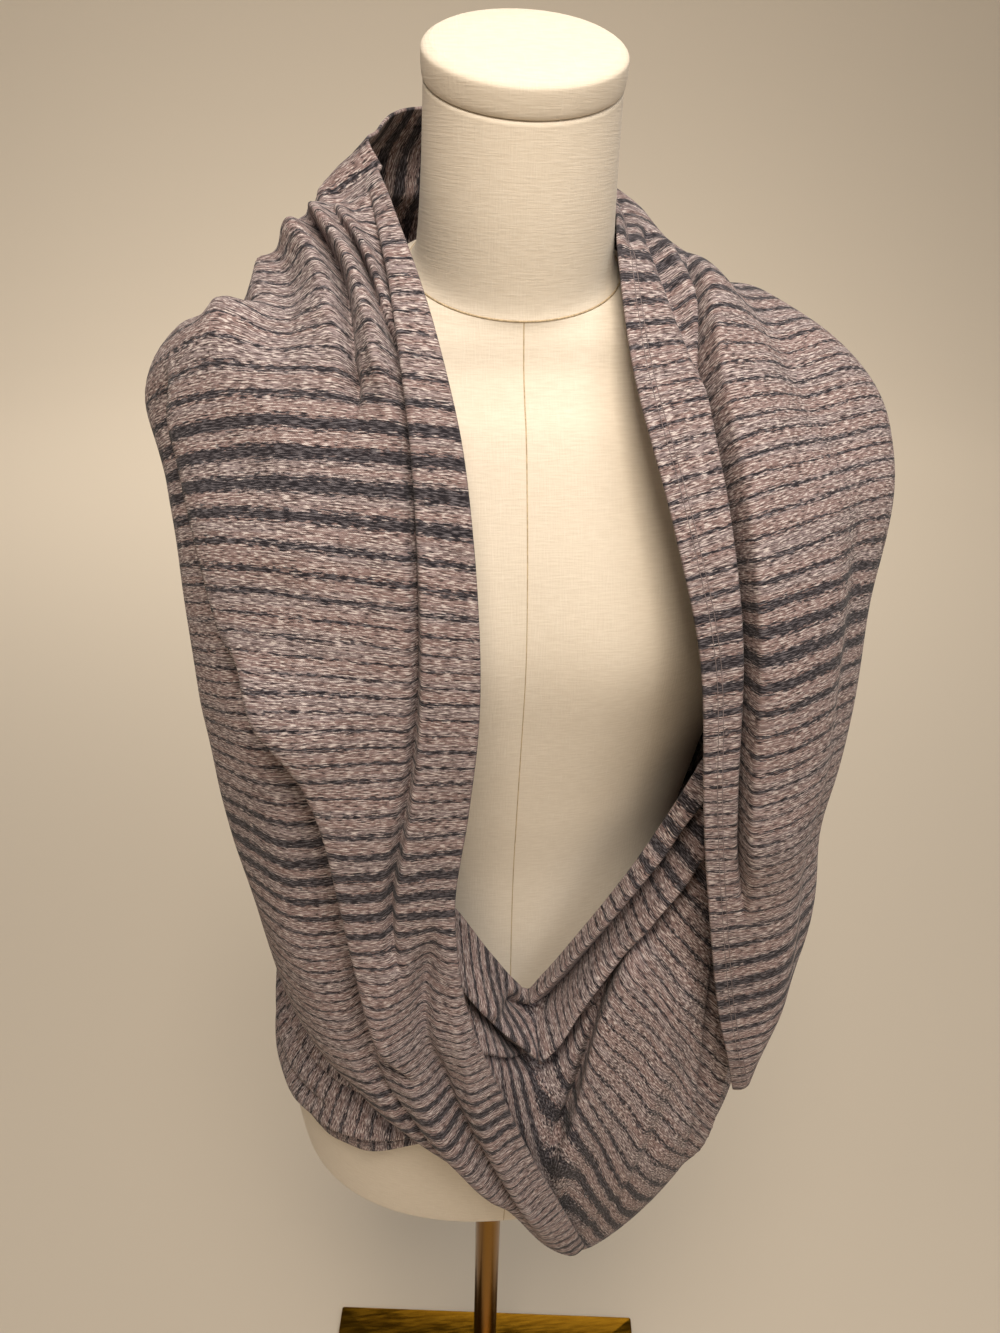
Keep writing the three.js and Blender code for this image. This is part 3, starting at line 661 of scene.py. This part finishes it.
def scarf_turn(stretches, span, folds, tucks, phase, material, thread):
    """One turn of the scarf as a run of stretches that share their end rows, cut off square at the
    two sections of its span. Along the loop the cloth is measured a third of the way across it. The
    stripes start further on by the phase, and where the cloth lies on the bias, more for each unit
    across."""
    turn = np.concatenate([np.array(s[1], float) for s in stretches])
    counts = np.array([len(s[1]) for s in stretches])
    ends = np.minimum(np.cumsum(counts), len(turn) - 1)
    places, run = run_along(turn)
    cuts = np.interp([span[0], *ends[:-1], span[1]], places, run)
    rows = np.maximum(GRID["least_rows"], np.round(np.diff(cuts) / GRID["row_step"])).astype(int)
    along = np.concatenate([np.linspace(a, b, n, endpoint=False)
                            for a, b, n in zip(cuts[:-1], cuts[1:], rows)] + [cuts[-1:]])
    at = np.interp(along, run, places)
    clear = np.interp(at, ends - counts / 2, [s[2] for s in stretches])
    points = turn_surface(turn, folds, tucks, at, crowded(GRID["fine_columns"]), clear)
    points, across = crowded_columns(points, GRID["columns"])
    side = unit(np.gradient(points, axis=1))
    normal = unit(np.cross(side, np.gradient(points, axis=0)))
    section, shift, skew = np.array(phase).T
    printed = (along + np.interp(at, section, shift))[:, None]
    uv = np.stack([across, printed + np.interp(at, section, skew)[:, None] * across], -1) * MM
    from_edge = np.minimum(across, across[:, -1:] - across)
    turned = 1 - ease((from_edge - CLOTH["hem_width"] + CLOTH["hem_step"] / 2) / CLOTH["hem_step"])
    thickness = CLOTH["wall"] + (CLOTH["hem"] - CLOTH["wall"]) * turned
    made = []
    first = 0
    for (name, _, _, edges), count in zip(stretches, rows):
        cut = slice(first, first + count + 1)
        cloth = cloth_shell(name, points[cut], normal[cut], thickness[cut], uv[cut], material)
        hem = hem_stitches(name + "_stitches", points[cut], normal[cut], thickness[cut], across[cut],
                           edges, thread)
        made.append((cloth, hem))
        first += count
    return made


# Materials


def new_material(name, **values):
    """Material with a Principled shader, its plain values set on its own sockets."""
    material = bpy.data.materials.new(name)
    material.use_nodes = True
    shader = material.node_tree.nodes["Principled BSDF"]
    for socket, value in values.items():
        shader.inputs[socket.replace("_", " ")].default_value = value
    return material, material.node_tree, shader


def add_node(tree, kind, inputs=(), **settings):
    """Node of a kind, with its settings, and its inputs set to values or linked to sockets."""
    node = tree.nodes.new(kind)
    for key, value in settings.items():
        setattr(node, key, value)
    for key, value in dict(inputs).items():
        if isinstance(value, bpy.types.NodeSocket):
            tree.links.new(value, node.inputs[key])
        else:
            node.inputs[key].default_value = value
    return node


def sums(tree, operation, a, b=0.0, c=0.0):
    """Output of a Math node."""
    return add_node(tree, "ShaderNodeMath", {0: a, 1: b, 2: c}, operation=operation).outputs[0]


def blend_colour(tree, share, a, b):
    """Colour between a and b."""
    node = add_node(tree, "ShaderNodeMix", {0: share, 6: a, 7: b}, data_type="RGBA")
    return node.outputs[2]


def ramp(tree, value, low, high, to_low=0.0, to_high=1.0):
    """Value carried smoothly from one range to another."""
    inputs = {0: value, 1: low, 2: high, 3: to_low, 4: to_high}
    return add_node(tree, "ShaderNodeMapRange", inputs, interpolation_type="SMOOTHSTEP").outputs[0]


def slub_group():
    """Streaks of uneven yarn: noise drawn out along one direction, with its own two scales."""
    group = bpy.data.node_groups.new("slub_streaks", "ShaderNodeTree")
    face = group.interface
    face.new_socket("Vector", in_out="INPUT", socket_type="NodeSocketVector")
    for name in ("Along", "Across", "Seed"):
        face.new_socket(name, in_out="INPUT", socket_type="NodeSocketFloat")
    face.new_socket("Streak", in_out="OUTPUT", socket_type="NodeSocketFloat")
    start, end = group.nodes.new("NodeGroupInput"), group.nodes.new("NodeGroupOutput")
    split = add_node(group, "ShaderNodeSeparateXYZ", {0: start.outputs[0]})
    x = sums(group, "MULTIPLY", split.outputs[0], start.outputs["Along"])
    y = sums(group, "MULTIPLY", split.outputs[1], start.outputs["Across"])
    z = sums(group, "ADD", split.outputs[2], start.outputs["Seed"])
    place = add_node(group, "ShaderNodeCombineXYZ", {0: x, 1: y, 2: z})
    noise = add_node(group, "ShaderNodeTexNoise", {"Vector": place.outputs[0], "Scale": 1.0,
                                                   "Detail": 2.0, "Roughness": 0.6})
    group.links.new(noise.outputs[0], end.inputs[0])
    return group


def streak(tree, group, vector, name):
    """Output of the slub group for the named streaks."""
    node = add_node(tree, "ShaderNodeGroup", node_tree=group)
    tree.links.new(vector, node.inputs["Vector"])
    for socket, value in zip(("Along", "Across", "Seed"), STREAKS[name]):
        node.inputs[socket].default_value = value
    return node.outputs[0]


def colour_of(name):
    """Linear colour of a named 8-bit colour."""
    c = np.array(COLOURS[name]) / 255
    c = np.where(c <= 0.04045, c / 12.92, ((c + 0.055) / 1.055) ** 2.4)
    return (*c.tolist(), 1.0)


def jersey_material(group):
    """Heathered jersey: streaky marl ground, broken dark stripes across the loop whose width and
    pitch grade up and down along it, and a fine knit in relief."""
    material, tree, shader = new_material("striped_jersey", Roughness=0.92, Sheen_Weight=0.06,
                                          Sheen_Roughness=0.5, Specular_IOR_Level=0.25)
    place = add_node(tree, "ShaderNodeUVMap", uv_map="cloth").outputs[0]
    split = add_node(tree, "ShaderNodeSeparateXYZ", {0: place})
    across, along = split.outputs[0], split.outputs[1]
    waver = streak(tree, group, place, "stripe_waver")
    drift = sums(tree, "MULTIPLY_ADD", waver, STRIPE["waver"] * MM, along)
    turn = sums(tree, "MULTIPLY", drift, 2 * math.pi / (STRIPE["repeat"] * MM))
    swing = STRIPE["swing"] * STRIPE["repeat"] / (2 * math.pi * STRIPE["pitch"])
    sway = sums(tree, "MULTIPLY", sums(tree, "SINE", turn), -swing)
    count = sums(tree, "MULTIPLY_ADD", drift, 1 / (STRIPE["pitch"] * MM), sway)
    chance = add_node(tree, "ShaderNodeTexWhiteNoise", {"W": sums(tree, "FLOOR", count)},
                      noise_dimensions="1D").outputs[0]
    saw = sums(tree, "FRACT", count)
    centre = sums(tree, "ABSOLUTE", sums(tree, "MULTIPLY_ADD", saw, 2.0, -1.0))
    grade = sums(tree, "MULTIPLY_ADD", sums(tree, "COSINE", turn), 0.5, 0.5)
    steep = sums(tree, "POWER", grade, 4.0)
    width = sums(tree, "MULTIPLY_ADD", steep, STRIPE["graded"], STRIPE["narrow"])
    width = sums(tree, "MULTIPLY_ADD", chance, STRIPE["chance"], width)
    fibre = streak(tree, group, place, "fibre")
    long_fibre = streak(tree, group, place, "long_fibre")
    ragged = sums(tree, "MULTIPLY_ADD", fibre, STRIPE["ragged"], -STRIPE["ragged"] / 2)
    long_ragged = sums(tree, "MULTIPLY_ADD", long_fibre, STRIPE["long_ragged"], -STRIPE["long_ragged"] / 2)
    ragged = sums(tree, "ADD", ragged, long_ragged)
    inside = sums(tree, "SUBTRACT", width, sums(tree, "ADD", centre, ragged))
    dark = ramp(tree, inside, -0.07, 0.09, 0.0, 0.95)
    fleck = streak(tree, group, place, "fleck")
    tone = ramp(tree, streak(tree, group, place, "tone"), 0.4, 0.6)
    band = ramp(tree, streak(tree, group, place, "band"), 0.42, 0.58, 0.0, 0.5)
    ground = blend_colour(tree, tone, colour_of("marl_dark"), colour_of("marl_light"))
    ground = blend_colour(tree, band, ground, colour_of("marl_rose"))
    ground = blend_colour(tree, ramp(tree, fleck, 0.53, 0.63), ground, colour_of("light_fleck"))
    ground = blend_colour(tree, ramp(tree, fleck, 0.46, 0.36), ground, colour_of("dark_fleck"))
    light = ramp(tree, fleck, 0.45, 0.64)
    shade = blend_colour(tree, light, colour_of("stripe_dark"), colour_of("stripe_light"))
    colour = blend_colour(tree, dark, ground, shade)
    tree.links.new(colour, shader.inputs["Base Color"])
    wale = sums(tree, "SINE", sums(tree, "MULTIPLY", across, 2 * math.pi / (KNIT["wale"] * MM)))
    course = sums(tree, "SINE", sums(tree, "MULTIPLY", along, 2 * math.pi / (KNIT["course"] * MM)))
    knit = sums(tree, "MULTIPLY", wale, course)
    relief = sums(tree, "MULTIPLY_ADD", knit, KNIT["share"], fibre)
    bump = add_node(tree, "ShaderNodeBump", {"Height": relief, "Strength": 0.35, "Distance": 0.0008})
    tree.links.new(bump.outputs[0], shader.inputs["Normal"])
    return material


def linen_material(group):
    """Unbleached linen: slub threads across and down, a little shade in the weave."""
    material, tree, shader = new_material("form_linen", Roughness=0.9, Sheen_Weight=0.12,
                                          Specular_IOR_Level=0.25)
    place = add_node(tree, "ShaderNodeTexCoord").outputs["Object"]
    turned = add_node(tree, "ShaderNodeMapping", {"Vector": place, "Rotation": (math.pi / 2, 0, 0)})
    weft = streak(tree, group, turned.outputs[0], "weft")
    warp = streak(tree, group, turned.outputs[0], "warp")
    patch = ramp(tree, streak(tree, group, turned.outputs[0], "patch"), 0.35, 0.65, 0.0, 0.25)
    light = ramp(tree, weft, 0.3, 0.7)
    colour = blend_colour(tree, light, colour_of("linen_dark"), colour_of("linen_light"))
    colour = blend_colour(tree, ramp(tree, warp, 0.55, 0.75, 0.0, 0.4), colour, colour_of("linen_slub"))
    colour = blend_colour(tree, patch, colour, colour_of("linen_patch"))
    tree.links.new(colour, shader.inputs["Base Color"])
    relief = sums(tree, "ADD", weft, warp)
    bump = add_node(tree, "ShaderNodeBump", {"Height": relief, "Strength": 0.3, "Distance": 0.0006})
    tree.links.new(bump.outputs[0], shader.inputs["Normal"])
    return material


def thread_material(name, group):
    """Sewing thread: a plain colour with a fine twist in its shade and relief."""
    material, tree, shader = new_material(name, Roughness=0.75, Specular_IOR_Level=0.3)
    place = add_node(tree, "ShaderNodeTexCoord").outputs["Object"]
    twist = streak(tree, group, place, "twist")
    colour = colour_of(name)
    dim = tuple(c * 0.7 for c in colour[:3]) + (1.0,)
    shade = blend_colour(tree, ramp(tree, twist, 0.35, 0.65), dim, colour)
    tree.links.new(shade, shader.inputs["Base Color"])
    bump = add_node(tree, "ShaderNodeBump", {"Height": twist, "Strength": 0.3, "Distance": 0.0003})
    tree.links.new(bump.outputs[0], shader.inputs["Normal"])
    return material


def gold_material(group):
    """Polished gold plating with faint rubbed streaks, its colour darkened by a painted dark reflection.
    """
    material, tree, shader = new_material("polished_gold", Metallic=1.0)
    place = add_node(tree, "ShaderNodeTexCoord").outputs["Object"]
    rub = streak(tree, group, place, "rub")
    tree.links.new(ramp(tree, rub, 0.3, 0.7, 0.13, 0.24), shader.inputs["Roughness"])
    light = ramp(tree, rub, 0.3, 0.7)
    # The two golds carry a painted dark reflection as well as the plating's tone
    colour = blend_colour(tree, light, colour_of("gold_dark_painted_reflection"), colour_of("gold_light_painted_reflection"))
    tree.links.new(colour, shader.inputs["Base Color"])
    return material


# Stage


def place_camera():
    """Camera at the photograph's height, turn, tilt and roll, with its focal length."""
    turns = ("azimuth", "heading", "pitch", "roll")
    azimuth, heading, pitch, roll = (math.radians(CAMERA[turn]) for turn in turns)
    away = CAMERA["distance"]
    eye = np.array([away * math.sin(azimuth), -away * math.cos(azimuth), CAMERA["height"]])
    level = np.array([-math.sin(heading), math.cos(heading), 0])
    ahead = level * math.cos(pitch) + np.array([0, 0, -math.sin(pitch)])
    level_right = np.cross(ahead, [0, 0, 1]) / math.cos(pitch)
    level_up = np.cross(level_right, ahead)
    right = level_right * math.cos(roll) + level_up * math.sin(roll)
    up = level_up * math.cos(roll) - level_right * math.sin(roll)
    data = bpy.data.cameras.new("camera")
    data.sensor_width = CAMERA["sensor"]
    data.lens = CAMERA["sensor"] * CAMERA["focal"] / CAMERA["long_side"]
    data.clip_start = CAMERA["near"]
    camera = bpy.data.objects.new("camera", data)
    camera.matrix_world = Matrix(np.block([[np.stack([right, up, -ahead], 1), eye[:, None]],
                                           [np.zeros((1, 3)), np.ones((1, 1))]]).tolist())
    bpy.context.collection.objects.link(camera)
    bpy.context.scene.camera = camera


def area_light(name, place, aim, size, power, colour):
    """Square soft light that faces a point and isn't seen itself."""
    data = bpy.data.lights.new(name, "AREA")
    data.size, data.energy, data.color = size, power, colour
    lamp = bpy.data.objects.new(name, data)
    lamp.location = place
    lamp.rotation_euler = (Vector(aim) - Vector(place)).to_track_quat("-Z", "Y").to_euler()
    lamp.visible_camera = False
    bpy.context.collection.objects.link(lamp)


def lay_floor():
    """Pale round floor: a flat disc whose rim sweeps up in a quarter circle."""
    sides = STAGE["sides"]
    bend = np.linspace(0, math.pi / 2, STAGE["bends"])
    reach = np.concatenate([STAGE["inner"], STAGE["flat"] + STAGE["sweep"] * np.sin(bend)])
    height = np.concatenate([np.zeros(len(STAGE["inner"])), STAGE["sweep"] * (1 - np.cos(bend))])
    angle = np.linspace(0, 2 * math.pi, sides, endpoint=False)
    rings = np.stack([np.outer(reach, np.cos(angle)), np.outer(reach, np.sin(angle)),
                      np.repeat(height[:, None], sides, 1)], -1)
    mesh = bpy.data.meshes.new("floor")
    mesh.from_pydata(rings.reshape(-1, 3).tolist(), [], tube_faces(len(reach), sides))
    mesh.polygons.foreach_set("use_smooth", np.ones(len(mesh.polygons), bool))
    floor = bpy.data.objects.new("floor", mesh)
    bpy.context.collection.objects.link(floor)
    material = new_material("floor", Roughness=0.95, Base_Color=colour_of("floor"),
                            Specular_IOR_Level=0.1)[0]
    mesh.materials.append(material)


def light_stage():
    """Dim pale sky, and the soft lights on the part and on the floor."""
    world = bpy.data.worlds.new("surroundings")
    world.use_nodes = True
    background = world.node_tree.nodes["Background"]
    background.inputs["Color"].default_value = SKY["colour"]
    background.inputs["Strength"].default_value = SKY["strength"]
    bpy.context.scene.world = world
    bpy.context.scene.view_settings.view_transform = "Standard"
    for light in LIGHTS:
        area_light(*light)


# Making

place_camera()
lay_floor()
light_stage()
slub = slub_group()
linen = linen_material(slub)
gold = gold_material(slub)
jersey = jersey_material(slub)
hem_thread = thread_material("hem_thread", slub)
seam_thread = thread_material("seam_thread", slub)

torso_rings = form_rings(TORSO, FORM["steps"], FORM["torso_sides"])
neck_rings = form_rings(NECK, FORM["steps"], FORM["neck_sides"])
cap_rings = form_rings(CAP, FORM["cap_steps"], FORM["neck_sides"])
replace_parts(stand_plate(gold), "base_plate")
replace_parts(stand_pole(gold), "pole")
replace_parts(closed_rings("form_torso", torso_rings, linen), "torso")
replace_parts(closed_rings("form_neck", neck_rings, linen), "neck")
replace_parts(closed_rings("form_cap", cap_rings, linen), "neck_cap")
form_seams(seam_thread)

neck_pieces = scarf_turn(NECK_STRETCHES, NECK_SPAN, NECK_FOLDS, NECK_TUCKS, NECK_PHASE, jersey, hem_thread)
hip_pieces = scarf_turn(HIP_STRETCHES, HIP_SPAN, HIP_FOLDS, HIP_TUCKS, HIP_PHASE, jersey, hem_thread)
for cloth, hem in neck_pieces + hip_pieces:
    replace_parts(cloth, "scarf_" + cloth.name)
